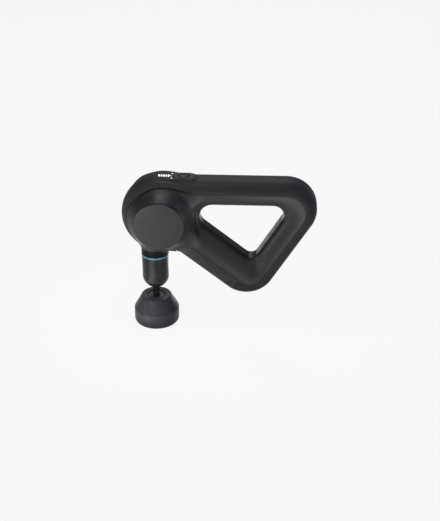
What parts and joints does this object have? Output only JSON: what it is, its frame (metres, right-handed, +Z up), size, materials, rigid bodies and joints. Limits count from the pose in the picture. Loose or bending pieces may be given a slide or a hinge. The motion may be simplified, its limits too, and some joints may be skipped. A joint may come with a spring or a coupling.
{
  "type": "massage gun",
  "caption": "Hand-held percussive massage gun with a triangular loop handle, a round motor head, a domed nose and a push-on foam cone driven up and down by a crank and yoke.",
  "frame": {"origin": "centre of the massage head's flat face, with the plunger at mid stroke", "axes": "+Z up the stroke axis, +X from the head to the handle, -Y out of the front side cap"},
  "size_m": [0.2225, 0.076, 0.19],
  "materials": {
    "case_shell": "fine matte moulded plastic",
    "grip_band": "soft matte overmoulded grip",
    "ribbed_strip": "ribbed soft grip",
    "side_cap": "satin plastic",
    "nose_plastic": "satin plastic",
    "accent_blue": "satin blue plastic",
    "seal_rubber": "matte rubber",
    "guide_aluminium": "turned",
    "bush_bronze": "sintered bronze",
    "frame_aluminium": "die cast",
    "screw_steel": "black zinc",
    "axle_steel": "ground",
    "lamination_steel": "stacked sheet",
    "coil_copper": "enamelled copper wire",
    "magnet_nickel": "nickel plated",
    "shaft_steel": "polished hard steel",
    "massage_foam": "closed-cell foam with a smooth skin",
    "core_plastic": "matte plastic",
    "button_plastic": "matte plastic",
    "light_white": "diffusing light guide",
    "board_green": "solder mask",
    "switch_black": "moulded",
    "cell_wrap": "shrink sleeve",
    "holder_plastic": "moulded",
    "socket_black": "moulded",
    "lead_red": "insulated wire"
  },
  "bodies": {
    "housing": {"case_front": "case_shell", "case_rear": "case_shell", "grip_band": "grip_band", "grip_strip": "ribbed_strip", "front_cap": "side_cap", "rear_cap": "side_cap", "nose_collar": "nose_plastic", "accent_ring": "accent_blue", "nose_sleeve": "nose_plastic", "tip_seal": "seal_rubber", "guide_tube": "guide_aluminium", "upper_bush": "bush_bronze", "lower_bush": "bush_bronze", "drive_frame": "frame_aluminium", "frame_screws": "screw_steel", "motor_base": "frame_aluminium", "motor_screws": "screw_steel", "motor_bearings": "axle_steel", "motor_stator": "lamination_steel", "stator_coils": "coil_copper", "level_lights": "light_white", "mode_lights": "light_white", "control_board": "board_green", "control_switches": "switch_black", "driver_board": "board_green", "driver_screws": "screw_steel", "battery_cells": "cell_wrap", "cell_holder": "holder_plastic", "charge_socket": "socket_black", "case_screws": "screw_steel", "motor_leads": "lead_red", "battery_leads": "lead_red"},
    "plunger": {"plunger_shaft": "shaft_steel", "drive_yoke": "frame_aluminium", "yoke_pin": "axle_steel"},
    "crank": {"motor_rotor": "lamination_steel", "rotor_magnets": "magnet_nickel", "motor_shaft": "axle_steel", "crank_disc": "lamination_steel", "crank_pin": "axle_steel", "crank_roller": "axle_steel", "crank_clip": "screw_steel"},
    "massage_head": {"head_foam": "massage_foam", "head_core": "core_plastic"},
    "power_key": {"power_button": "button_plastic"},
    "speed_key": {"speed_rocker": "button_plastic"}
  },
  "joints": [
    {"name": "crank_spin", "type": "hinge", "parent": "housing", "child": "crank", "pos_m": [0.0085, 0, 0.1438], "axis": [0, 1, 0], "range_deg": [-90, 90]},
    {"name": "plunger_stroke", "type": "slide", "parent": "housing", "child": "plunger", "axis": [0, 0, 1], "range_m": [-0.008, 0.008]},
    {"name": "massage_head_pull", "type": "slide", "parent": "plunger", "child": "massage_head", "axis": [0, 0, -1], "range_m": [0, 0.03]},
    {"name": "power_press", "type": "slide", "parent": "housing", "child": "power_key", "axis": [0, 0, -1], "range_m": [0, 0.0008], "stiffness_N_per_m": 1500, "springref_m": -0.0005},
    {"name": "rocker_tilt", "type": "hinge", "parent": "housing", "child": "speed_key", "pos_m": [0.035, 0, 0.1889], "axis": [0, 1, 0], "range_deg": [-3, 3], "stiffness_Nm_per_rad": 0.6}
  ],
  "couplings": [
    {"joint": "plunger_stroke", "follows": "crank_spin", "m_per_rad": 0.00509}
  ]
}
